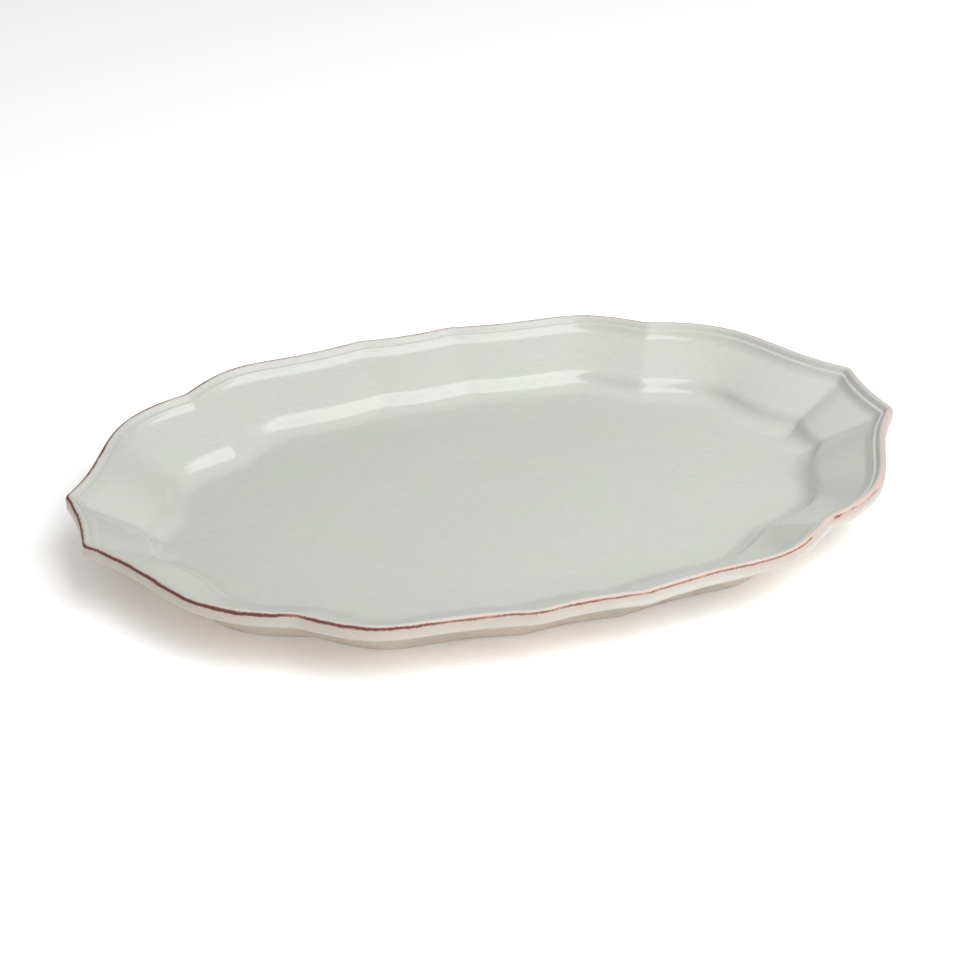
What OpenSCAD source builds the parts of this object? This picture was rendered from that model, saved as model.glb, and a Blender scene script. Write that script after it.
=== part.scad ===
// Scalloped serving platter in glazed stoneware: a coved flat floor, a sloping
// wall with creases, a beaded lip with a bracketed outline and a low foot ring.
// The platter is one fired piece. Its nodes are the layers it is made of: the
// clay, the bare foot, the coats of glaze and the line of clay at the rim.
// Millimetres, +X along the platter, +Z up. The origin is in the middle of the
// plane that the foot ring rests on.

/* [Rim outline] */
// Middle of the platter to the tips at each end
tip_x = 221.4; // [200:0.1:240]
// Long centre line to each tip
tip_y = 27; // [22:0.5:32]
// Middle of the platter to the kinks, where the outline turns in
kink_x = 138; // [132:0.5:144]
// Long centre line to each kink
kink_y = 127.5; // [123:0.5:132]
// Middle of the platter to the ridges on the long sides
ridge_x = 27; // [23:0.5:32]
// Long centre line to each ridge
ridge_y = 164; // [160:0.5:170]
// How far the long side dips in between its two ridges
side_dip = 2.5; // [0:0.5:5]
// How far the end dips in between its two tips
end_dip = 2.5; // [0:0.5:5]
// How much higher the rim stands at its ends than at its ridges
end_rise = 2; // [0:0.5:4]

/* [Floor outline] */
// Middle of the platter to the points of the floor's outline
floor_tip_x = 186; // [178:0.5:190]
// Long centre line to each point of the floor's outline
floor_tip_y = 14.5; // [11:0.5:18]
// Middle of the platter to the floor's kinks
floor_kink_x = 121; // [116:0.5:126]
// Long centre line to each of the floor's kinks
floor_kink_y = 91.5; // [87:0.5:95]
// Middle of the platter to the floor's ridges
floor_ridge_x = 25; // [22:0.5:29]
// Long centre line to each of the floor's ridges
floor_ridge_y = 125.5; // [121:0.5:130]

/* [Scallops] */
// Length of the curve's handle at a ridge
ridge_pull = 70; // [60:1:78]
// Direction of the outline as it leaves a ridge
ridge_turn = -15; // [-20:1:-10]
// Length of the curve's handle on the ridge side of a kink
kink_reach = 60; // [50:1:68]
// Direction of the outline as it reaches a kink
kink_fall = -46; // [-52:1:-40]
// Length of the curve's handle on the tip side of a kink
kink_pull = 64; // [54:1:68]
// Direction of the outline as it leaves a kink
kink_turn = -18; // [-23:1:-13]
// Length of the curve's handle at a tip
tip_reach = 56; // [46:1:60]
// Direction of the outline as it reaches a tip
tip_fall = -49; // [-54:1:-44]
// Handles of the floor's curves as a share of the rim's
floor_pull = 1; // [0.8:0.01:1.05]

/* [Well] */
// Height of the foot ring
foot_height = 1.8; // [1.6:0.1:2.2]
// Height of the floor's glazed face
floor_height = 6; // [5.8:0.1:6.4]
// Width of the shallow edge of the floor, where it starts to curve up
toe_run = 8.5; // [7.5:0.5:9.5]
// Rise of the floor's shallow edge
toe_rise = 1.9; // [1.6:0.1:2.2]
// Width of the cove, from the shallow edge to the steepest place
cove_run = 4.4; // [4:0.1:4.8]
// Rise of the cove
cove_rise = 3.6; // [3.2:0.1:4]
// Width of the round shoulder between the cove and the wall
shoulder_run = 3.8; // [3.4:0.1:4.2]
// Rise of the shoulder
shoulder_rise = 3.3; // [3:0.1:3.6]
// Width of the sloping wall
wall_run = 24.6; // [24.1:0.1:25.1]
// Rise of the sloping wall
wall_rise = 9.5; // [9.1:0.1:9.9]

/* [Lip] */
// Floor's outline out to the rim's outline at the ridges
rim_run = 38; // [37.8:0.1:38.4]
// Rim's outline out to the middle of the bead
bead_out = 0.6; // [0.4:0.1:0.8]
// Height of the middle of the bead at the ridges
lip_height = 30.3; // [30:0.1:30.8]
// Radius of the bead that runs round the rim
bead_radius = 2.2; // [2:0.1:2.4]
// Distance from the middle of the bead in to the foot of the small roll
roll_back = 5.2; // [5:0.1:5.4]
// Depth of the roll's foot below the middle of the bead
roll_drop = 1.6; // [1.4:0.1:1.8]
// Width of the small roll inside the bead
roll_width = 1.6; // [1.4:0.1:1.8]
// How far the small roll rises from its inner to its outer edge
roll_rise = 0.7; // [0.5:0.1:0.9]
// Width of the groove between the roll and the bead
groove_width = 0.8; // [0.7:0.1:1]
// How far the groove rises on its way out
groove_rise = 0.4; // [0.3:0.1:0.5]
// Angle on the bead where the line of bare clay starts, from straight out
line_top = 48; // [42:1:56]
// Angle on the bead where the line of bare clay ends
line_foot = -6; // [-12:1:4]

/* [Underside] */
// Depth of the lip's outer face below the middle of the bead
face_drop = 4.4; // [4:0.1:4.8]
// How far the foot of the outer face is set in
face_lean = 0.1; // [0:0.1:0.3]
// Width of the lip's rounded lower edge
edge_run = 0.9; // [0.7:0.1:1.1]
// Height of the lip's rounded lower edge
edge_drop = 1.4; // [1.2:0.1:1.6]
// How far the ledge below the lip runs in under it
ledge_run = 3.7; // [3.3:0.1:4.1]
// Drop of the ledge from the lip's lower edge to the wall
ledge_drop = 1.5; // [1.2:0.1:1.8]
// How far the wall's outer side starts inside the top of its inner side
back_in = 2.6; // [2:0.1:3.2]
// Depth of the wall's outer side below the top of its inner side
back_drop = 6.7; // [6.2:0.1:7.2]
// Floor's outline out to the foot ring's outer side
foot_out = 7.7; // [7:0.1:8.4]
// Width of the foot ring
foot_width = 6; // [4.5:0.5:6.5]
// Height where the foot's outer side runs into the wall
foot_top = 5.5; // [5.1:0.1:5.9]
// How much wider the foot's outer side is at its top
foot_draft = 0.3; // [0:0.1:0.6]
// Width of the hollow between the foot's outer side and the wall
hollow_run = 3.2; // [2.8:0.1:3.6]
// Height of that hollow
hollow_rise = 4.5; // [4.1:0.1:4.9]
// Thickness of each coat of glaze
glaze = 0.5; // [0.3:0.05:0.6]

/* [Smoothness] */
// Steps along each scallop
scallop_steps = 9; // [6:1:10]

/* [Hidden] */

side_steps = 2;
end_steps = 3;

clay = [0.80, 0.72, 0.64];
fired_clay = [0.46, 0.29, 0.24];
white_glaze = [0.85, 0.85, 0.82];
warm_glaze = [0.84, 0.80, 0.75];

// The pull is the share of the rim's curve handles that the outline uses.
rim_quarter = quarter([ridge_x, ridge_y], [kink_x, kink_y], [tip_x, tip_y], 1);
floor_quarter = quarter([floor_ridge_x, floor_ridge_y], [floor_kink_x, floor_kink_y],
                        [floor_tip_x, floor_tip_y], floor_pull);
rim_ring = all_round(rim_quarter);
floor_ring = all_round(floor_quarter);
stations = len(rim_ring);

// Turns of the section's arcs, in degrees, left turns above 0.
toe_turn = 25;
cove_turn = 28;
shoulder_turn = -22;
wall_turn = -4;
under_roll_turn = 42;
roll_turn = -75;
groove_turn = 73;
face_turn = 4;
edge_turn = -60;
ledge_turn = 35;
back_turn = -20;
hollow_turn = 65;

// Places on the section are [distance out, height]. The distance is counted
// from the floor's outline, which runs along the steepest place of the cove.
bead_in = 150;
cove_foot = [-cove_run, floor_height + toe_rise];
cove_top = [0, cove_foot.y + cove_rise];
shoulder_top = cove_top + [shoulder_run, shoulder_rise];
wall_top = shoulder_top + [wall_run, wall_rise];
bead_middle = [rim_run + bead_out, lip_height];
roll_in = bead_middle - [roll_back, roll_drop];
roll_out = roll_in + [roll_width, roll_rise];
groove_out = roll_out + [groove_width, groove_rise];
face_foot = bead_middle + [bead_radius - face_lean, -face_drop];
lip_foot = face_foot - [edge_run, edge_drop];
ledge_in = lip_foot - [ledge_run, ledge_drop];
wall_behind = wall_top - [back_in, back_drop];
hollow_top = [foot_out + hollow_run, foot_top + hollow_rise];
foot_shoulder = [foot_out + foot_draft, foot_top];

// Knots of the section are a place with the turn to the next knot and the steps.
inner_knots = [
    knot([-toe_run - cove_run, floor_height], toe_turn, 2),
    knot(cove_foot, cove_turn, 3),
    knot(cove_top, shoulder_turn, 2),
    knot(shoulder_top, wall_turn, 1),
    knot(wall_top, under_roll_turn, 3),
    knot(roll_in, roll_turn, 3),
    knot(roll_out, groove_turn, 2),
    knot(groove_out, 0, 1),
    knot(on_bead(bead_in), line_top - bead_in, 3),
    knot(on_bead(line_top), 0, 0)
];
line_knots = [
    knot(on_bead(line_top), line_foot - line_top, 2),
    knot(on_bead(line_foot), 0, 0)
];
outer_knots = [
    knot(on_bead(line_foot), face_turn, 1),
    knot(face_foot, edge_turn, 2),
    knot(lip_foot, ledge_turn, 2),
    knot(ledge_in, back_turn, 2),
    knot(wall_behind, 0, 1),
    knot(hollow_top, hollow_turn, 2),
    knot(foot_shoulder, 0, 1),
    knot([foot_out, foot_height], 0, 0)
];

inner_face = line_through(inner_knots);
line_face = line_through(line_knots);
outer_face = line_through(outer_knots);
ware_face = concat(inner_face, tail(line_face), tail(outer_face));
clay_face = sunk(ware_face);
inner_bed = [for (i = [0:len(inner_face) - 1]) clay_face[i]];
line_start = len(inner_face) - 1;
outer_start = line_start + len(line_face) - 1;
line_bed = [for (i = [0:len(line_face) - 1]) clay_face[line_start + i]];
outer_bed = [for (i = [0:len(outer_face) - 1]) clay_face[outer_start + i]];

// Point t of the way from p to q on a curve with the handles a at p and b at q.
function curve(p, a, b, q, t) =
    p * pow(1 - t, 3) + (p + a) * 3 * t * pow(1 - t, 2) + (q - b) * 3 * t * t * (1 - t) + q * pow(t, 3);

// Arm of the given length in the given direction.
function arm(length, direction) = length * [cos(direction), sin(direction)];

// A quarter of an outline, from the middle of a long side to the middle of an end.
function quarter(ridge, kink, tip, pull) = concat(
    [for (i = [0:side_steps - 1]) let (k = i / side_steps)
        [ridge.x * k, ridge.y - side_dip * pull * (1 - k * k)]],
    [for (i = [0:scallop_steps - 1])
        curve(ridge, pull * arm(ridge_pull, ridge_turn), pull * arm(kink_reach, kink_fall),
              kink, i / scallop_steps)],
    [for (i = [0:scallop_steps - 1])
        curve(kink, pull * arm(kink_pull, kink_turn), pull * arm(tip_reach, tip_fall),
              tip, i / scallop_steps)],
    [for (i = [0:end_steps]) let (k = 1 - i / end_steps)
        [tip.x - end_dip * pull * (1 - k * k), tip.y * k]]
);

function reversed(list) = [for (i = [len(list) - 1:-1:0]) list[i]];

function tail(list) = [for (i = [1:len(list) - 1]) list[i]];

// The quarter mirrored to the whole outline, each shared point kept once.
function all_round(part) = concat(
    part,
    [for (p = reversed(part)) if (p.y > 0) [p.x, -p.y]],
    [for (p = part) if (p.x > 0) [-p.x, -p.y]],
    [for (p = reversed(part)) if (p.x > 0 && p.y > 0) [-p.x, p.y]]
);

function on_bead(angle) = bead_middle + arm(bead_radius, angle);

function knot(place, turn, steps) = [place.x, place.y, turn, steps];

function place_of(knot) = [knot.x, knot.y];

function turned(v, angle) = [v.x * cos(angle) - v.y * sin(angle), v.x * sin(angle) + v.y * cos(angle)];

// Points of an arc from p to q that turns left through the angle, without q.
function arc_points(p, q, angle, steps) = [
    for (i = [0:steps - 1]) let (k = i / steps)
        p + turned(q - p, angle * (k - 1) / 2) * (angle == 0 ? k : sin(angle * k / 2) / sin(angle / 2))
];

function line_through(knots) = concat(
    [for (i = [0:len(knots) - 2])
        each arc_points(place_of(knots[i]), place_of(knots[i + 1]), knots[i][2], knots[i][3])],
    [place_of(knots[len(knots) - 1])]
);

// The face moved into the ware by one coat of glaze.
function sunk(face) = [
    for (i = [0:len(face) - 1]) let (
        along = face[min(i + 1, len(face) - 1)] - face[max(i - 1, 0)],
        inward = turned(along, -90) / norm(along)
    ) i == 0 ? face[i] - [0, glaze] : i == len(face) - 1 ? face[i] - [glaze, 0] : face[i] + glaze * inward
];

// The place on station i of a point of the section. The wall stretches between
// the two outlines, and all that lies inside or outside it keeps its width. The
// ends rise with the wall, and the foot stays level.
function placed(i, point) = let (
    outward = (rim_ring[i] - floor_ring[i]) / norm(rim_ring[i] - floor_ring[i]),
    share = max(0, min(1, point.x / wall_top.x)),
    flat = floor_ring[i] + (rim_ring[i] - floor_ring[i]) * share + outward * (point.x - rim_run * share),
    level = max(0, min(1, (point.y - foot_height) / (shoulder_top.y - foot_height))),
    lift = end_rise * share * level * pow(rim_ring[i].x / tip_x, 2)
) [flat.x, flat.y, point.y + lift];

function swept(face) = [for (p = face) for (i = [0:stations - 1]) placed(i, p)];

// Bands of triangles between rows of stations, facing up when the rows run outward.
function bands(rows) = [
    for (r = [0:rows - 2]) for (i = [0:stations - 1]) let (
        a = r * stations + i,
        b = r * stations + (i + 1) % stations
    ) each [[a, b, b + stations], [a, b + stations, a + stations]]
];

// Triangles that close the last row onto the first.
function closing_band(rows) = [
    for (i = [0:stations - 1]) let (
        a = (rows - 1) * stations + i,
        b = (rows - 1) * stations + (i + 1) % stations
    ) each [[a, b, (i + 1) % stations], [a, (i + 1) % stations, i]]
];

// Triangles from the middle of the platter out to a row.
function fan(centre, row) = [
    for (i = [0:stations - 1]) [centre, row * stations + (i + 1) % stations, row * stations + i]
];

// A disc whose top face runs out to its edge and whose lower face runs back in.
module dished(face) {
    rows = len(face);
    middle_top = rows * stations;
    polyhedron(
        points = concat(swept(face), [[0, 0, face[0].y], [0, 0, face[rows - 1].y]]),
        faces = concat(
            bands(rows),
            fan(middle_top, 0),
            [for (t = fan(middle_top + 1, rows - 1)) [t[0], t[2], t[1]]]
        )
    );
}

module ring_round(face) {
    polyhedron(points = swept(face), faces = concat(bands(len(face)), closing_band(len(face))));
}

module outline_at(distance) {
    polygon([for (i = [0:stations - 1]) let (p = placed(i, [distance, 0])) [p.x, p.y]]);
}

module clay_body() {
    color(clay) dished(clay_face);
}

module foot_ring() {
    color(clay) linear_extrude(foot_height) difference() {
        outline_at(foot_out);
        outline_at(foot_out - foot_width);
    }
}

module inner_glaze() {
    color(white_glaze) dished(concat(inner_face, reversed(inner_bed)));
}

module outer_glaze() {
    color(warm_glaze) ring_round(concat(outer_face, reversed(outer_bed)));
}

module base_glaze() {
    color(warm_glaze) translate([0, 0, foot_height - glaze])
        linear_extrude(glaze) outline_at(foot_out - foot_width);
}

module rim_line() {
    color(fired_clay) ring_round(concat(line_face, reversed(line_bed)));
}

clay_body();
foot_ring();
inner_glaze();
outer_glaze();
base_glaze();
rim_line();
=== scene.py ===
"""A scalloped serving platter in glazed stoneware, on a plain pale floor.

The CAD frame gives the place and the overall size. Each layer of the ware is
built again here as a smooth surface: the same outlines and section as the CAD
solids, with many more stations and softened creases. The layers are then
glazed with materials that pool in hollows and thin out over edges.
"""

import math

import bmesh
import bpy
import numpy as np
from mathutils import Matrix, Vector


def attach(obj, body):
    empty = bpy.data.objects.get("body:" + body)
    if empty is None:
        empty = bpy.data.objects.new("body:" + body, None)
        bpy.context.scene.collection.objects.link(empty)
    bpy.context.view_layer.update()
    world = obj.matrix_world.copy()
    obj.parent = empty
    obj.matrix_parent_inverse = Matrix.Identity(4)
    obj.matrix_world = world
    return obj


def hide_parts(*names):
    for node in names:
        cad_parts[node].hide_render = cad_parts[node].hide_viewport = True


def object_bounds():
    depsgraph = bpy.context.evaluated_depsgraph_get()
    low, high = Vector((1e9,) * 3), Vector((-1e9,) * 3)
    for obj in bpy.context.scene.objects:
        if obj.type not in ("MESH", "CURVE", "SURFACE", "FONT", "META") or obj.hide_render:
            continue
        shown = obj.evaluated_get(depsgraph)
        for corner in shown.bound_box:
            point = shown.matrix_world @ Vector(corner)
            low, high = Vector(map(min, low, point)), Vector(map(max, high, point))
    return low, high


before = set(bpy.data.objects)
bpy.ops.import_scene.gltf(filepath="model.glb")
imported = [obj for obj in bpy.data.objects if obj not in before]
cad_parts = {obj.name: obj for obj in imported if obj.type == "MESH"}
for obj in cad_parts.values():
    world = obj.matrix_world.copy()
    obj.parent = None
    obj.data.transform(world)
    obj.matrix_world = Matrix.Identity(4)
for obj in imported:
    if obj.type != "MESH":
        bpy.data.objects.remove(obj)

CAD_LOW, CAD_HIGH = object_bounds()

# ---------------------------------------------------------------- place and scale
DESIGN_LENGTH = 448.06  # the section and the outlines below are in design millimetres
MM = (CAD_HIGH.x - CAD_LOW.x) / DESIGN_LENGTH
MIDDLE = Vector(((CAD_LOW.x + CAD_HIGH.x) / 2, (CAD_LOW.y + CAD_HIGH.y) / 2, CAD_LOW.z))

# ---------------------------------------------------------------- camera
AZIMUTH = math.radians(-16.71)
ELEVATION = math.radians(27.61)
ROLL = math.radians(-1.70)
DISTANCE = 1378.9 * MM
AIM = MIDDLE + Vector((-3.6, 7.2, 13.6)) * MM
LENS, SENSOR = 95.72, 36.0  # millimetres
FARTHEST_SEEN = 50.0  # metres


def add_camera():
    """The camera stands in front and to the left of the platter, above it."""
    level = Vector((math.sin(AZIMUTH), -math.cos(AZIMUTH), 0))
    back = level * math.cos(ELEVATION) + Vector((0, 0, math.sin(ELEVATION)))
    right = (-back).cross(Vector((0, 0, 1))).normalized()
    up = right.cross(-back)
    cos, sin = math.cos(ROLL), math.sin(ROLL)
    right, up = right * cos + up * sin, up * cos - right * sin
    data = bpy.data.cameras.new("camera")
    data.lens = LENS
    data.sensor_width = SENSOR
    data.clip_end = FARTHEST_SEEN
    camera = bpy.data.objects.new("camera", data)
    turn = Matrix((right, up, back)).transposed().to_4x4()
    camera.matrix_world = Matrix.Translation(AIM + back * DISTANCE) @ turn
    bpy.context.scene.collection.objects.link(camera)
    bpy.context.scene.camera = camera


# ---------------------------------------------------------------- outlines
SIDE_STEPS = 14
SCALLOP_STEPS = 46
END_STEPS = 14
CROWDING = 0.11  # how much closer the stations stand near the ridges, kinks and tips
SIDE_DIP = 2.5  # how far the middle of a long side lies inside its two ridges
END_DIP = 2.5  # how far the middle of an end lies inside its two tips
END_RISE = 2.0  # how far the lip climbs from the middle of a side to a tip
# A scallop curve's handles are (length, direction in degrees).
RIDGE_HANDLE = (70, -15)
KINK_INNER_HANDLE = (60, -46)
KINK_OUTER_HANDLE = (64, -18)
TIP_HANDLE = (56, -49)
# The first quarter of each outline: its corners' places from the platter's middle.
RIM = {"ridge": (27, 164), "kink": (138, 127.5), "tip": (221.4, 27)}
FLOOR = {"ridge": (25, 125.5), "kink": (121, 91.5), "tip": (186, 14.5)}
RIM_SOFTENING, FLOOR_SOFTENING = 4, 6  # passes over each outline's corners


def arm(length, degrees):
    """The step of this length in a direction of the outlines' or the section's plane."""
    return length * np.array([math.cos(math.radians(degrees)), math.sin(math.radians(degrees))])


def curve(start, leave, reach, end):
    """A cubic curve from start, which it leaves along one handle, up to but without end."""
    k = np.arange(SCALLOP_STEPS)[:, None] / SCALLOP_STEPS
    t = k - CROWDING * np.sin(2 * math.pi * k)
    near, far = start + leave, end - reach
    return start * (1 - t) ** 3 + near * 3 * t * (1 - t) ** 2 + far * 3 * t * t * (1 - t) + end * t**3


def quarter(corners):
    """From the middle of a long side, over ridge, kink and tip, to the middle of an end."""
    ridge, kink, tip = (np.array(corners[name], float) for name in ("ridge", "kink", "tip"))
    k = np.arange(SIDE_STEPS) / SIDE_STEPS
    side = np.stack([ridge[0] * k, ridge[1] - SIDE_DIP * (1 - k * k)], 1)
    inner = curve(ridge, arm(*RIDGE_HANDLE), arm(*KINK_INNER_HANDLE), kink)
    outer = curve(kink, arm(*KINK_OUTER_HANDLE), arm(*TIP_HANDLE), tip)
    k = 1 - np.arange(END_STEPS + 1) / END_STEPS
    end = np.stack([tip[0] - END_DIP * (1 - k * k), tip[1] * k], 1)
    return np.concatenate([side, inner, outer, end])


def all_round(part):
    """The quarter mirrored to the whole outline, each shared point kept once."""
    back = part[::-1]
    return np.concatenate([part, back[1:] * [1, -1], part[1:] * [-1, -1], back[1:-1] * [-1, 1]])


def softened(ring, passes):
    """Rounds the corners of a closed ring."""
    for _ in range(passes):
        ring = ring * 0.5 + (np.roll(ring, 1, 0) + np.roll(ring, -1, 0)) * 0.25
    return ring


RIM_RING = softened(all_round(quarter(RIM)), RIM_SOFTENING)
FLOOR_RING = softened(all_round(quarter(FLOOR)), FLOOR_SOFTENING)
WALL_LINES = RIM_RING - FLOOR_RING
OUTWARD = WALL_LINES / np.linalg.norm(WALL_LINES, axis=1)[:, None]
STATIONS = len(RIM_RING)

# ---------------------------------------------------------------- section
# A place in the section is (distance out from the floor's outline, height above
# the plane that the foot rests on). The floor's outline runs where the cove is
# steepest.
FOOT_HEIGHT = 1.8
FLOOR_HEIGHT = 6.0
TOE = (-12.9, FLOOR_HEIGHT)
COVE_FOOT = (-4.4, 7.9)
COVE_TOP = (0.0, 11.5)
SHOULDER_TOP = (3.8, 14.8)
WALL_TOP = (28.4, 24.3)
RIM_RUN = 38.0  # where the rim outline lies on the section
LIP_MIDDLE, LIP_RADIUS = (38.6, 30.3), 2.2
LIP_IN, LINE_TOP, LINE_FOOT = 150, 48, -6  # directions from the middle of the lip, in degrees
ROLL_IN = (33.4, 28.7)
ROLL_OUT = (35.0, 29.4)
GROOVE_OUT = (35.8, 29.8)
FACE_FOOT = (40.7, 25.9)
LIP_FOOT = (39.8, 24.5)
LEDGE_IN = (36.1, 23.0)
WALL_BEHIND = (25.8, 17.6)
FOOT_OUT, FOOT_WIDTH = 7.7, 6.0
FOOT_TOP, FOOT_DRAFT = 5.5, 0.3
HOLLOW_RUN, HOLLOW_RISE = 3.2, 4.5
FOOT_SHOULDER = (FOOT_OUT + FOOT_DRAFT, FOOT_TOP)
HOLLOW_TOP = (FOOT_OUT + HOLLOW_RUN, FOOT_TOP + HOLLOW_RISE)
GLAZE = 0.5  # the thickness of a coat
CREASE_SOFTENING = 2  # passes over the section's creases


def on_lip(degrees):
    """The place on the round of the lip in a direction from its middle."""
    return tuple(np.array(LIP_MIDDLE) + arm(LIP_RADIUS, degrees))


# A knot is (its place, the turn to the next knot in degrees, the steps to it).
INNER_KNOTS = [
    (TOE, 25, 12),
    (COVE_FOOT, 28, 10),
    (COVE_TOP, -22, 8),
    (SHOULDER_TOP, -4, 16),
    (WALL_TOP, 42, 12),
    (ROLL_IN, -75, 8),
    (ROLL_OUT, 73, 6),
    (GROOVE_OUT, 0, 5),
    (on_lip(LIP_IN), LINE_TOP - LIP_IN, 14),
    (on_lip(LINE_TOP), 0, 0),
]
LINE_KNOTS = [
    (on_lip(LINE_TOP), LINE_FOOT - LINE_TOP, 8),
    (on_lip(LINE_FOOT), 0, 0),
]
OUTER_KNOTS = [
    (on_lip(LINE_FOOT), 4, 10),
    (FACE_FOOT, -60, 8),
    (LIP_FOOT, 35, 6),
    (LEDGE_IN, -20, 10),
    (WALL_BEHIND, 0, 10),
    (HOLLOW_TOP, 65, 8),
    (FOOT_SHOULDER, 0, 4),
    ((FOOT_OUT, FOOT_HEIGHT), 0, 0),
]


def line_through(knots):
    """The section through the knots, as arcs."""
    points = []
    for (start, turn, steps), (end, _, _) in zip(knots, knots[1:]):
        half = math.radians(turn) / 2
        chord = np.subtract(end, start)
        for i in range(steps):
            k = i / steps
            share = k if turn == 0 else math.sin(half * k) / math.sin(half)
            c, s = math.cos(half * (k - 1)), math.sin(half * (k - 1))
            turned = np.array([chord[0] * c - chord[1] * s, chord[0] * s + chord[1] * c])
            points.append(start + share * turned)
    return np.array(points + [knots[-1][0]])


def relaxed(face, passes):
    """Softens the creases of a section and keeps its two ends."""
    for _ in range(passes):
        middle = face[1:-1] * 0.5 + (face[:-2] + face[2:]) * 0.25
        face = np.concatenate([face[:1], middle, face[-1:]])
    return face


def sunk(face):
    """The face moved into the ware by one coat of glaze."""
    along = np.gradient(face, axis=0)
    along /= np.linalg.norm(along, axis=1)[:, None]
    bed = face + GLAZE * np.stack([along[:, 1], -along[:, 0]], 1)
    bed[0] = face[0] - [0, GLAZE]
    bed[-1] = face[-1] - [GLAZE, 0]
    return bed


def travelled(face):
    """How far each point lies along the section."""
    return np.concatenate([[0], np.cumsum(np.linalg.norm(np.diff(face, axis=0), axis=1))])


INNER_ROWS = sum(steps for _, _, steps in INNER_KNOTS)
LINE_ROWS = sum(steps for _, _, steps in LINE_KNOTS)
WARE = relaxed(np.concatenate([
    line_through(INNER_KNOTS)[:-1], line_through(LINE_KNOTS)[:-1], line_through(OUTER_KNOTS),
]), CREASE_SOFTENING)
BED = sunk(WARE)
TRAVEL = travelled(WARE)
LINE_MIDDLE = (TRAVEL[INNER_ROWS] + TRAVEL[INNER_ROWS + LINE_ROWS]) / 2
# How far each point lies from the middle of the rim's band of clay, along the
# section: above 0 inside the platter and below 0 on its outer face.
LINE_PLACE = LINE_MIDDLE - TRAVEL


def placed(point):
    """A ring of places, one for each station, for a place in the section.

    Over the wall its outline goes from the floor's to the rim's, and its ends rise.
    """
    share = min(1.0, max(0.0, point[0] / WALL_TOP[0]))
    flat = FLOOR_RING + WALL_LINES * share + OUTWARD * (point[0] - RIM_RUN * share)
    level = min(1.0, max(0.0, (point[1] - FOOT_HEIGHT) / (SHOULDER_TOP[1] - FOOT_HEIGHT)))
    lift = END_RISE * share * level * (RIM_RING[:, 0] / RIM["tip"][0]) ** 2
    return np.column_stack([flat, point[1] + lift])


# ---------------------------------------------------------------- the state of the glaze
PROBE = 2.0  # how far to each side the hollowness is measured, mm
NEARLY_ZERO = 1e-9  # keeps a normal of no length from a division by zero
RIM_COLUMNS = ("line_half", "line_dark", "blush", "line_rise")
# Round the platter, against the clock seen from above: the direction in degrees
# from its right end, half the width of the brown line in mm, how dark the line
# is, how strongly the glaze beside it blushes, and how far the line runs above
# the middle of its band of clay, mm.
RIM_LINE = [
    (-180, 0.55, 0.95, 0.25, 1.0), (-168, 0.75, 1.0, 0.2, 0.4), (-150, 0.85, 1.0, 0.2, 0.1),
    (-140, 0.8, 1.0, 0.2, 0.4), (-137, 0.5, 0.6, 0.3, 1.0), (-134, 0.75, 1.0, 0.2, 0.7),
    (-122, 0.65, 1.0, 0.25, 0.3), (-115, 0.45, 0.65, 0.3, 0.3), (-90, 0.4, 0.6, 0.4, 0.3),
    (-60, 0.35, 0.65, 0.5, 0.6), (-50, 0.35, 0.65, 0.7, 0.6), (-47, 0.3, 0.2, 0.9, 0.4),
    (-42.4, 0.3, 0.2, 0.9, 0.2), (-41.4, 0.6, 0.9, 0.9, 0.2), (-40, 0.3, 0.5, 0.9, 0.2),
    (-30, 0.3, 0.45, 0.9, 0.2), (-20, 0.35, 0.2, 0.9, 0.5), (0, 0.35, 0.15, 0.9, 1.0),
    (20, 0.5, 0.6, 0.6, 1.6), (45, 0.7, 0.95, 0.4, 1.9), (90, 0.7, 0.95, 0.25, 1.9),
    (135, 0.75, 1.0, 0.25, 1.9), (165, 0.7, 1.0, 0.25, 1.6), (180, 0.55, 0.95, 0.25, 1.0),
]


def between(values, places, wanted):
    """Rows of values at the wanted places, in a straight line between rows."""
    index = np.clip(np.searchsorted(places, wanted) - 1, 0, len(places) - 2)
    share = np.clip((wanted - places[index]) / (places[index + 1] - places[index]), 0, 1)
    share = share.reshape(-1, *[1] * (values.ndim - 1))
    return values[index] * (1 - share) + values[index + 1] * share


def hollowness(grid, travel):
    """How far the skin's surroundings stand above each point: hollow is above 0, proud is below."""
    across = np.gradient(grid, axis=0)
    along = np.roll(grid, -1, 1) - np.roll(grid, 1, 1)
    normal = np.cross(along, across)
    normal /= np.linalg.norm(normal, axis=2)[..., None] + NEARLY_ZERO
    section_mean = (between(grid, travel, travel + PROBE) + between(grid, travel, travel - PROBE)) / 2
    gaps = np.linalg.norm(np.roll(RIM_RING, -1, 0) - RIM_RING, axis=1)
    length = gaps.sum()
    places = np.concatenate([[0], np.cumsum(gaps)])
    closed = np.concatenate([grid, grid[:, :1]], 1).transpose(1, 0, 2)
    here = places[:-1]
    ahead = between(closed, places, (here + PROBE) % length)
    behind = between(closed, places, (here - PROBE) % length)
    ring_mean = (ahead + behind) / 2
    offset = section_mean + ring_mean.transpose(1, 0, 2) - 2 * grid
    return (offset * normal).sum(2)


def round_the_rim():
    """The brown line's half width, darkness, blush and rise, each with a value per station."""
    angle = np.degrees(np.arctan2(RIM_RING[:, 1], RIM_RING[:, 0]))
    directions, *columns = np.array(RIM_LINE).T
    return {key: np.interp(angle, directions, column) for key, column in zip(RIM_COLUMNS, columns)}


RIM_VALUES = round_the_rim()
SKIN = np.array([placed(point) for point in WARE])
HOLLOW = hollowness(SKIN, TRAVEL)

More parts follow.
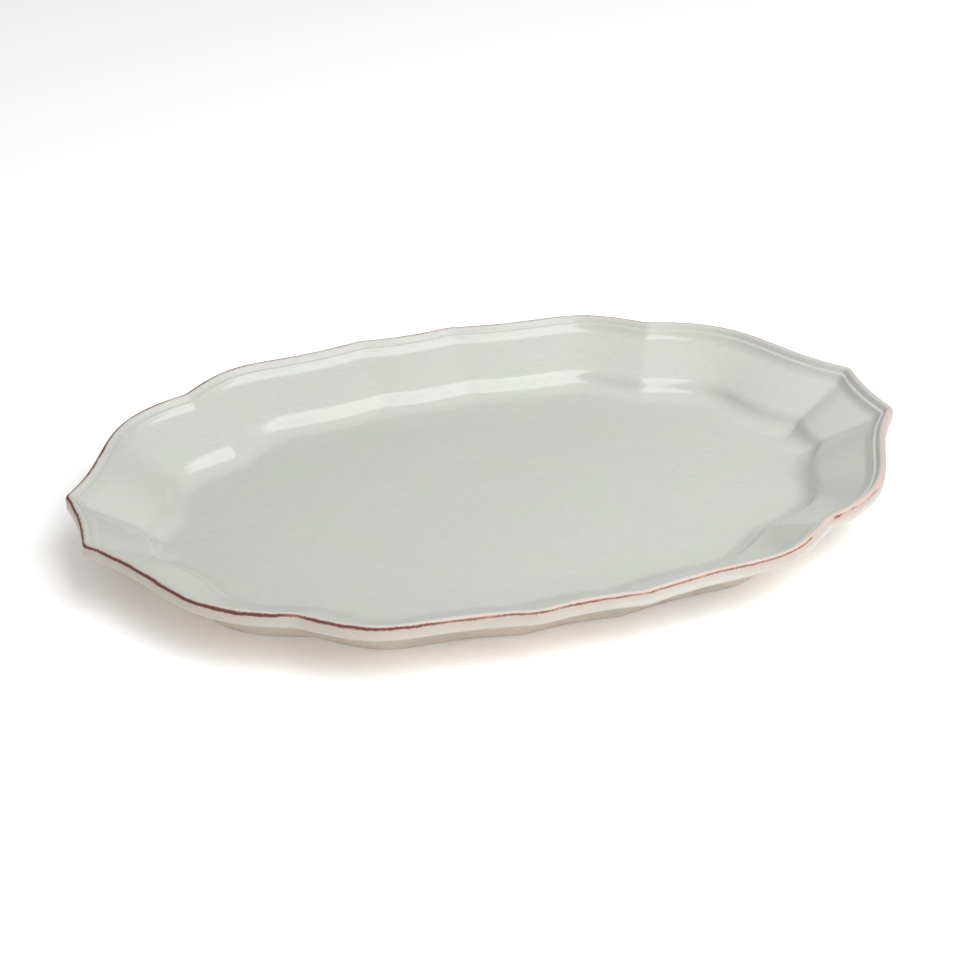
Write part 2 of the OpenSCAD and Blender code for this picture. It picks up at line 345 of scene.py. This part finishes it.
# ---------------------------------------------------------------- meshes
# A ring is (its points, their distance from the rim line, their hollowness).
CENTRE_SHARES = (0.05, 0.3, 0.55, 0.8)  # the sizes of a disc's rings, as shares of its edge
FAR_FROM_LINE = -60.0
FOOT_ROUND = 0.9  # the radius of the foot ring's two lower edges
GLAZE_FILLET = 1.1  # the radius where the base glaze meets the foot ring
FILLET_HOLLOW = 0.3  # the hollowness that the glaze takes on in that fillet
ROUND_STEPS = 5
SHELL_EDGE = math.radians(50)  # a sharper turn than this is the edge of a coat


def skin(rows):
    """Rings of the outer skin, each with its distance from the rim line and its hollowness."""
    return [(SKIN[r], LINE_PLACE[r], HOLLOW[r]) for r in rows]


def bed(rows):
    """Rings of the face one coat of glaze below the skin."""
    return [(placed(BED[r]), LINE_PLACE[r], 0.0) for r in rows]


def plain(points, hollow=0.0):
    """Rings through places in the section that are far from the rim line."""
    return [(placed(point), FAR_FROM_LINE, hollow) for point in points]


def disc(edge):
    """Rings from near the middle of a flat disc out to its edge, which isn't among them."""
    outline, height = edge[0], edge[0][0, 2]
    return [(outline * [share, share, 0] + [0, 0, height], edge[1], 0.0) for share in CENTRE_SHARES]


def capped(rings):
    """The rings with a flat disc inside the first and inside the last."""
    return disc(rings[0]) + rings + disc(rings[-1])[::-1]


def ring_faces(first, second):
    """Quads between two rings that start at these points."""
    i = np.arange(STATIONS)
    j = (i + 1) % STATIONS
    return np.stack([first + i, first + j, second + j, second + i], 1).tolist()


def build(name, rings, slot, closed=False):
    """A piece of ware over rings of points: a shell with no open edge.

    In a closed shell the last ring meets the first. In any other, the first and
    the last ring each run in to a point at the middle.
    """
    points = np.concatenate([ring[0] for ring in rings])
    last = (len(rings) - 1) * STATIONS
    faces = []
    for first in range(0, last, STATIONS):
        faces += ring_faces(first, first + STATIONS)
    if closed:
        faces += ring_faces(last, 0)
    else:
        top, bottom = len(points), len(points) + 1
        points = np.concatenate([points, [[0, 0, rings[0][0][0, 2]], [0, 0, rings[-1][0][0, 2]]]])
        faces += [(top, (i + 1) % STATIONS, i) for i in range(STATIONS)]
        faces += [(bottom, last + i, last + (i + 1) % STATIONS) for i in range(STATIONS)]
    mesh = bpy.data.meshes.new(name)
    mesh.from_pydata([tuple(MIDDLE + Vector(point) * MM) for point in points], [], faces)
    for key, values in glaze_values(rings).items():
        if not closed:
            values = np.concatenate([values, values[[0, -1]]])
        mesh.attributes.new(key, "FLOAT", "POINT").data.foreach_set("value", values)
    finish_normals(mesh)
    piece = bpy.data.objects.new(name, mesh)
    bpy.context.scene.collection.objects.link(piece)
    piece.data.materials.append(MATERIALS[slot])
    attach(piece, "root")
    return piece


def glaze_values(rings):
    """What the materials read at each point of the rings."""
    ones = np.ones(STATIONS)
    values = {
        "line_place": np.concatenate([ring[1] * ones for ring in rings]),
        "hollow": np.concatenate([ring[2] * ones for ring in rings]),
    }
    values.update((key, np.tile(column, len(rings))) for key, column in RIM_VALUES.items())
    return values


def finish_normals(mesh):
    """Makes the faces look outward and shade smoothly, but for the edges of a coat."""
    work = bmesh.new()
    work.from_mesh(mesh)
    bmesh.ops.recalc_face_normals(work, faces=work.faces)
    work.to_mesh(mesh)
    work.free()
    mesh.polygons.foreach_set("use_smooth", [True] * len(mesh.polygons))
    mesh.set_sharp_from_angle(angle=SHELL_EDGE)


def add_clay_body():
    piece = build("clay_body_ware", capped(bed(range(len(BED)))), "clay")
    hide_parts("clay_body")


def add_foot_ring():
    inner, outer = FOOT_OUT - FOOT_WIDTH, FOOT_OUT
    turns = np.linspace(0, 90, ROUND_STEPS + 1)
    outer_round = [np.array([outer - FOOT_ROUND, FOOT_ROUND]) + arm(FOOT_ROUND, -a) for a in turns]
    inner_round = [np.array([inner + FOOT_ROUND, FOOT_ROUND]) + arm(FOOT_ROUND, -90 - a) for a in turns]
    section = [(outer, FOOT_HEIGHT)] + outer_round + inner_round + [(inner, FOOT_HEIGHT)]
    piece = build("foot_ring_ware", plain(section), "bare_foot", closed=True)
    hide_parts("foot_ring")


def add_inner_glaze():
    top = skin(range(INNER_ROWS + 1))
    under = bed(range(INNER_ROWS, -1, -1))
    piece = build("inner_glaze_ware", capped(top + under), "inner_glaze")
    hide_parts("inner_glaze")


def add_rim_line():
    rows = range(INNER_ROWS, INNER_ROWS + LINE_ROWS + 1)
    piece = build("rim_line_ware", skin(rows) + bed(rows[::-1]), "rim_line", closed=True)
    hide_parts("rim_line")


def add_outer_glaze():
    rows = range(INNER_ROWS + LINE_ROWS, len(WARE))
    piece = build("outer_glaze_ware", skin(rows) + bed(rows[::-1]), "outer_glaze", closed=True)
    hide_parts("outer_glaze")


def add_base_glaze():
    """The glaze inside the foot, which climbs a little way down the foot's inner side."""
    edge, face = FOOT_OUT - FOOT_WIDTH, FOOT_HEIGHT - GLAZE
    turns = np.linspace(90, 0, ROUND_STEPS + 1)
    fillet = [np.array([edge - GLAZE_FILLET, face - GLAZE_FILLET]) + arm(GLAZE_FILLET, a) for a in turns]
    under = plain(fillet, hollow=FILLET_HOLLOW)
    top = plain([(edge, FOOT_HEIGHT)])
    piece = build("base_glaze_ware", capped(under + top), "outer_glaze")
    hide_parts("base_glaze")


# ---------------------------------------------------------------- material nodes
def shade(red, green, blue):
    """A colour from its sRGB parts, 0 to 255, as the linear values that a shader takes."""
    parts = (part / 255 for part in (red, green, blue))
    return tuple(p / 12.92 if p <= 0.04045 else ((p + 0.055) / 1.055) ** 2.4 for p in parts) + (1.0,)


class Tree:
    """A material's node tree, with short calls for the nodes that the materials share."""

    def __init__(self, name):
        self.material = bpy.data.materials.new(name)
        self.material.use_nodes = True
        self.nodes = self.material.node_tree.nodes
        self.links = self.material.node_tree.links
        self.shader = next(node for node in self.nodes if node.type == "BSDF_PRINCIPLED")
        self.place = self.node("TexCoord").outputs["Object"]

    def put(self, socket, value):
        """Links an output to the socket, or sets the socket to a constant."""
        if isinstance(value, bpy.types.NodeSocket):
            self.links.new(value, socket)
        else:
            socket.default_value = value

    def node(self, kind, values=(), **settings):
        """A new node, with its settings and the values or outputs that its inputs take."""
        made = self.nodes.new("ShaderNode" + kind)
        for key, value in settings.items():
            setattr(made, key, value)
        for key, value in dict(values).items():
            self.put(made.inputs[key], value)
        return made

    def maths(self, operation, a, b=0.0):
        return self.node("Math", {0: a, 1: b}, operation=operation).outputs[0]

    def ramp(self, value, start, end, low=0.0, high=1.0):
        """Goes smoothly from low to high as the value goes from start to end."""
        values = {0: value, 1: start, 2: end, 3: low, 4: high}
        return self.node("MapRange", values, interpolation_type="SMOOTHSTEP").outputs[0]

    def noise(self, size, detail=2.0, roughness=0.5, stretch=None):
        """Noise whose features are about this many millimetres across."""
        place = self.place
        if stretch:
            place = self.node("Mapping", {"Vector": place, "Scale": stretch}).outputs[0]
        values = {"Vector": place, "Scale": 1 / (size * MM), "Detail": detail, "Roughness": roughness}
        return self.node("TexNoise", values).outputs[0]

    def swing(self, noise, depth):
        """Noise as a value that swings about 0, by half the depth each way."""
        return self.maths("MULTIPLY", self.maths("SUBTRACT", noise, 0.5), depth)

    def mix(self, share, a, b):
        """The colour a share of the way from a to b."""
        made = self.node("Mix", data_type="RGBA")
        for index, value in ((0, share), (6, a), (7, b)):
            self.put(made.inputs[index], value)
        return made.outputs[2]

    def value(self, name):
        """What the mesh says at each point, under this name."""
        return self.node("Attribute", attribute_name=name, attribute_type="GEOMETRY").outputs["Fac"]


# ---------------------------------------------------------------- materials
CREAM = shade(175, 176, 171)
LAVENDER = shade(175, 175, 174)
GREENISH = shade(174, 177, 169)
POOLED = shade(158, 160, 156)
THIN = shade(173, 171, 165)
ROSE = shade(165, 149, 143)
LIP = shade(169, 162, 153)
# The underside's colour is partly its warmer beige tone and partly painted light: it is kept lighter
# than LIP to fill the shade under the lip's overhang.
BEIGE_PAINTED_FILL = shade(203, 191, 179)
BEIGE_POOLED = shade(182, 170, 157)
LINE_BROWN = shade(88, 45, 36)
LINE_ORANGE = shade(142, 104, 87)
LINE_HALO = shade(172, 150, 138)
CLAY = shade(201, 189, 176)
CLAY_DARK = shade(188, 174, 159)

# Sizes and reaches are in millimetres. A (start, end) pair is where a change
# begins and where it is complete, and a (start, end, low, high) also says from
# what to what it goes.
BROAD_PATCH, SMALL_PATCH = 60, 38
BROAD_CHANGE, SMALL_CHANGE = (0.45, 0.7), (0.5, 0.72)  # of the noise
RAGGED_SIZE, RAGGED_DEPTH = 4, 0.12  # of the edge where the glaze pools or thins
POOLS = (0.05, 0.5, 0, 0.2)  # by the hollowness
THINS = (-0.08, -0.9, 0, 0.6)  # by the hollowness
SPECK_SIZE, STREAK_SIZE = 1.3, 3.0
STREAK_STRETCH = (0.45, 1.5, 1.0)  # streaks are long along X and narrow along Y
MOTTLE_CHANGE = (0.45, 0.75)  # of the noise
WAVE_SIZE, WAVE_DEPTH = 14, 1.6  # of the brown line's path
NIBBLE_SIZE, NIBBLE_DEPTH = 1.2, 1.7  # of the brown line's edges
PATCHY_SIZE, PATCHY_DEPTH = 9, 0.9  # of the gaps where the brown line is faint
LINE_GAIN = 1.45  # how much the line's darkness counts against its gaps
LINE_BREAKS = (0.0, 0.45)
LINE_BROWNS = (-0.1, 0.45)
LINE_EDGE = (0.45, -0.3)
HALO_EDGE = (1.3, 0.1, 0, 0.6)
BLUSH_EDGE = (4.2, 1.6)
# Where the outer face goes over to the underside's colours, which carry painted fill light.
PAINTED_FILL_EDGE = (-7.0, -11.0)  # distance from the rim line, down the outer face
SATIN_EDGE = (9.0, 3.0, 0, 0.4)  # the extra roughness near the rim line
GLOSS_PATCH, GLOSS_CHANGE = 7, (0.3, 0.8)
GLAZE_IOR = 1.52
UNEVEN_SIZE, UNEVEN_HEIGHT = 22, 0.22
DIMPLE_SIZE, DIMPLE_HEIGHT = 3.0, 0.012


def glazed_colour(tree, base, patches, pooled, thin, mottle):
    """The glaze's colour: broad patches and fine mottling.

    It is greyer where the glaze pools and warmer where it thins.
    """
    broad = tree.noise(BROAD_PATCH, detail=3)
    small = tree.noise(SMALL_PATCH, detail=2, roughness=0.4)
    colour = tree.mix(tree.ramp(broad, *BROAD_CHANGE), base, patches[0])
    colour = tree.mix(tree.ramp(small, *SMALL_CHANGE), colour, patches[1])
    ragged = tree.swing(tree.noise(RAGGED_SIZE, detail=3), RAGGED_DEPTH)
    hollow = tree.maths("ADD", tree.value("hollow"), ragged)
    colour = tree.mix(tree.ramp(hollow, *POOLS), colour, pooled)
    colour = tree.mix(tree.ramp(hollow, *THINS), colour, thin)
    specks = tree.noise(SPECK_SIZE, detail=4, roughness=0.65)
    streaks = tree.noise(STREAK_SIZE, detail=4, roughness=0.65, stretch=STREAK_STRETCH)
    specked = tree.maths("MULTIPLY", tree.ramp(specks, *MOTTLE_CHANGE), mottle)
    streaked = tree.maths("MULTIPLY", tree.ramp(streaks, *MOTTLE_CHANGE), mottle)
    return tree.mix(tree.maths("ADD", specked, streaked), colour, pooled)


def rim_lined(tree, colour):
    """The colour with the line of fired clay round the rim, broken up where it is faint."""
    place, half, dark = (tree.value(name) for name in ("line_place", "line_half", "line_dark"))
    wave = tree.swing(tree.noise(WAVE_SIZE, detail=2), WAVE_DEPTH)
    nibble = tree.swing(tree.noise(NIBBLE_SIZE, detail=4, roughness=0.75), NIBBLE_DEPTH)
    wave = tree.maths("SUBTRACT", wave, tree.value("line_rise"))
    beside = tree.maths("ABSOLUTE", tree.maths("ADD", place, wave))
    beside = tree.maths("ADD", tree.maths("SUBTRACT", beside, half), nibble)
    gaps = tree.maths("MULTIPLY", tree.noise(PATCHY_SIZE, detail=4, roughness=0.65), PATCHY_DEPTH)
    kept = tree.maths("SUBTRACT", tree.maths("MULTIPLY", dark, LINE_GAIN), gaps)
    strength = tree.ramp(kept, *LINE_BREAKS)
    near = tree.ramp(tree.maths("ADD", tree.maths("ABSOLUTE", place), nibble), *BLUSH_EDGE)
    colour = tree.mix(tree.maths("MULTIPLY", near, tree.value("blush")), colour, ROSE)
    halo = tree.maths("MULTIPLY", tree.ramp(beside, *HALO_EDGE), strength)
    colour = tree.mix(halo, colour, LINE_HALO)
    browned = tree.ramp(tree.maths("SUBTRACT", dark, gaps), *LINE_BROWNS)
    brown = tree.mix(browned, LINE_ORANGE, LINE_BROWN)
    return tree.mix(tree.maths("MULTIPLY", tree.ramp(beside, *LINE_EDGE), strength), colour, brown)


def add_bump(tree, parts):
    """A bump on the shader from pairs of a noise and its height in millimetres."""
    height = 0.0
    for noise, tall in parts:
        height = tree.maths("ADD", tree.maths("MULTIPLY", noise, tall * MM), height)
    bump = tree.node("Bump", {"Height": height, "Distance": 1.0, "Strength": 1.0})
    tree.put(tree.shader.inputs["Normal"], bump.outputs[0])


def glaze_material(name, base, patches, pooled, thin, mottle, roughness, underside_painted_fill=None):
    """A coat of glaze, whose colours may change to another set below the rim: the underside's warmer
    beige, painted lighter there to fill the shade under the lip.
    """
    tree = Tree(name)
    colour = glazed_colour(tree, base, patches, pooled, thin, mottle)
    if underside_painted_fill:
        # Below the lip's face the colour goes over to the underside's set: warmer beige, and painted
        # lighter to fill the shade there.
        below = tree.ramp(tree.value("line_place"), *PAINTED_FILL_EDGE)
        colour = tree.mix(below, colour, glazed_colour(tree, *underside_painted_fill))
    tree.put(tree.shader.inputs["Base Color"], rim_lined(tree, colour))
    satin = tree.ramp(tree.maths("ABSOLUTE", tree.value("line_place")), *SATIN_EDGE)
    gloss = tree.ramp(tree.noise(GLOSS_PATCH, detail=3), *GLOSS_CHANGE, *roughness)
    tree.put(tree.shader.inputs["Roughness"], tree.maths("ADD", gloss, satin))
    tree.put(tree.shader.inputs["IOR"], GLAZE_IOR)
    uneven, dimples = tree.noise(UNEVEN_SIZE, detail=1), tree.noise(DIMPLE_SIZE, detail=2)
    add_bump(tree, [(uneven, UNEVEN_HEIGHT), (dimples, DIMPLE_HEIGHT)])
    return tree.material


CLAY_PATCH, CLAY_CHANGE = 12, (0.35, 0.7)
GRAIN_SIZE, GRAIN_HEIGHT = 0.7, 0.06
GRAIN_DARKENS = (0.55, 0.75, 0, 0.5)
GRAIN_ROUGHENS, ROUGHEST = (0.3, 0.7), 0.9
LUMP_SIZE, LUMP_HEIGHT = 3, 0.08


def clay_material(name, polish):
    """Bare fired clay, whose smoothest spots have the roughness that polish says."""
    tree = Tree(name)
    colour = tree.mix(tree.ramp(tree.noise(CLAY_PATCH, detail=4), *CLAY_CHANGE), CLAY, CLAY_DARK)
    grain = tree.noise(GRAIN_SIZE, detail=3, roughness=0.7)
    colour = tree.mix(tree.ramp(grain, *GRAIN_DARKENS), colour, CLAY_DARK)
    tree.put(tree.shader.inputs["Base Color"], colour)
    tree.put(tree.shader.inputs["Roughness"], tree.ramp(grain, *GRAIN_ROUGHENS, polish, ROUGHEST))
    add_bump(tree, [(grain, GRAIN_HEIGHT), (tree.noise(LUMP_SIZE, detail=3), LUMP_HEIGHT)])
    return tree.material


MATERIALS = {
    "inner_glaze": glaze_material(
        "inner_glaze", CREAM, (LAVENDER, GREENISH), POOLED, THIN, 0.3, (0.10, 0.22),
    ),
    "outer_glaze": glaze_material(
        "outer_glaze", LIP, (THIN, LIP), BEIGE_POOLED, THIN, 0.2, (0.14, 0.28),
        # The underside: partly its warmer beige tone, partly painted light that fills the shade under
        # the lip.
        underside_painted_fill=(BEIGE_PAINTED_FILL, (THIN, BEIGE_PAINTED_FILL), BEIGE_POOLED, THIN, 0.22),
    ),
    "rim_line": glaze_material(
        "rim_line", LIP, (THIN, LIP), BEIGE_POOLED, THIN, 0.2, (0.3, 0.5),
    ),
    "clay": clay_material("clay", 0.7),
    "bare_foot": clay_material("bare_foot", 0.6),
}

# ---------------------------------------------------------------- studio
SOFTBOX_HEIGHT = 0.95  # metres
SOFTBOX_MIDDLE = (0.61, -0.75)  # as a share of its height
SOFTBOX_SIZE = (1.5, 1.7)  # as a share of its height
SOFTBOX_RADIANCE = 3.2
CEILING_RADIANCE = 0.68
FRONT_RADIANCE, BACK_RADIANCE = 1.5, 0.25  # of the room's walls
CEILING_START, CEILING_END = 0.38, 0.62  # a direction's Z where the walls turn to ceiling
FRONT_END, BACK_START = -0.4, 0.3  # a direction's Y where the front wall turns to the back wall
STAGE_SIZE = 14.0  # metres
STAGE_ROUGHNESS, STAGE_SPECULAR = 0.9, 0.1
WHITE = shade(255, 255, 255)


def add_softbox():
    """One big lamp over the front right, whose wattage follows from its radiance and size."""
    width, depth = (SOFTBOX_HEIGHT * share for share in SOFTBOX_SIZE)
    light = bpy.data.lights.new("softbox", "AREA")
    light.shape = "RECTANGLE"
    light.size, light.size_y = width, depth
    light.energy = SOFTBOX_RADIANCE * math.pi * width * depth
    softbox = bpy.data.objects.new("softbox", light)
    offset = Vector((*SOFTBOX_MIDDLE, 1.0)) * SOFTBOX_HEIGHT
    softbox.location = MIDDLE + offset
    bpy.context.scene.collection.objects.link(softbox)


def light_the_room():
    """Walls that are bright in front and dim behind, under a plain ceiling."""
    world = bpy.data.worlds.new("room")
    world.use_nodes = True
    nodes, links = world.node_tree.nodes, world.node_tree.links

    def smooth(value, *limits):
        step = nodes.new("ShaderNodeMapRange")
        step.interpolation_type = "SMOOTHSTEP"
        links.new(value, step.inputs[0])
        for index, limit in enumerate(limits, 1):
            if isinstance(limit, bpy.types.NodeSocket):
                links.new(limit, step.inputs[index])
            else:
                step.inputs[index].default_value = limit
        return step.outputs[0]

    split = nodes.new("ShaderNodeSeparateXYZ")
    links.new(nodes.new("ShaderNodeTexCoord").outputs["Generated"], split.inputs[0])
    walls = smooth(split.outputs["Y"], FRONT_END, BACK_START, FRONT_RADIANCE, BACK_RADIANCE)
    radiance = smooth(split.outputs["Z"], CEILING_START, CEILING_END, walls, CEILING_RADIANCE)
    background = nodes["Background"]
    background.inputs["Color"].default_value = WHITE
    links.new(radiance, background.inputs["Strength"])
    bpy.context.scene.world = world


def add_floor():
    """The plain pale floor that the platter stands on."""
    half = STAGE_SIZE / 2
    corners = [(-half, -half), (half, -half), (half, half), (-half, half)]
    mesh = bpy.data.meshes.new("floor")
    mesh.from_pydata([(MIDDLE.x + x, MIDDLE.y + y, MIDDLE.z) for x, y in corners], [], [(0, 1, 2, 3)])
    floor = bpy.data.objects.new("floor", mesh)
    bpy.context.scene.collection.objects.link(floor)
    tree = Tree("floor")
    tree.put(tree.shader.inputs["Base Color"], WHITE)
    tree.put(tree.shader.inputs["Roughness"], STAGE_ROUGHNESS)
    tree.put(tree.shader.inputs["Specular IOR Level"], STAGE_SPECULAR)
    floor.data.materials.append(tree.material)


add_camera()
add_clay_body()
add_foot_ring()
add_inner_glaze()
add_rim_line()
add_outer_glaze()
add_base_glaze()
add_softbox()
light_the_room()
add_floor()
bpy.context.scene.view_settings.view_transform = "Standard"
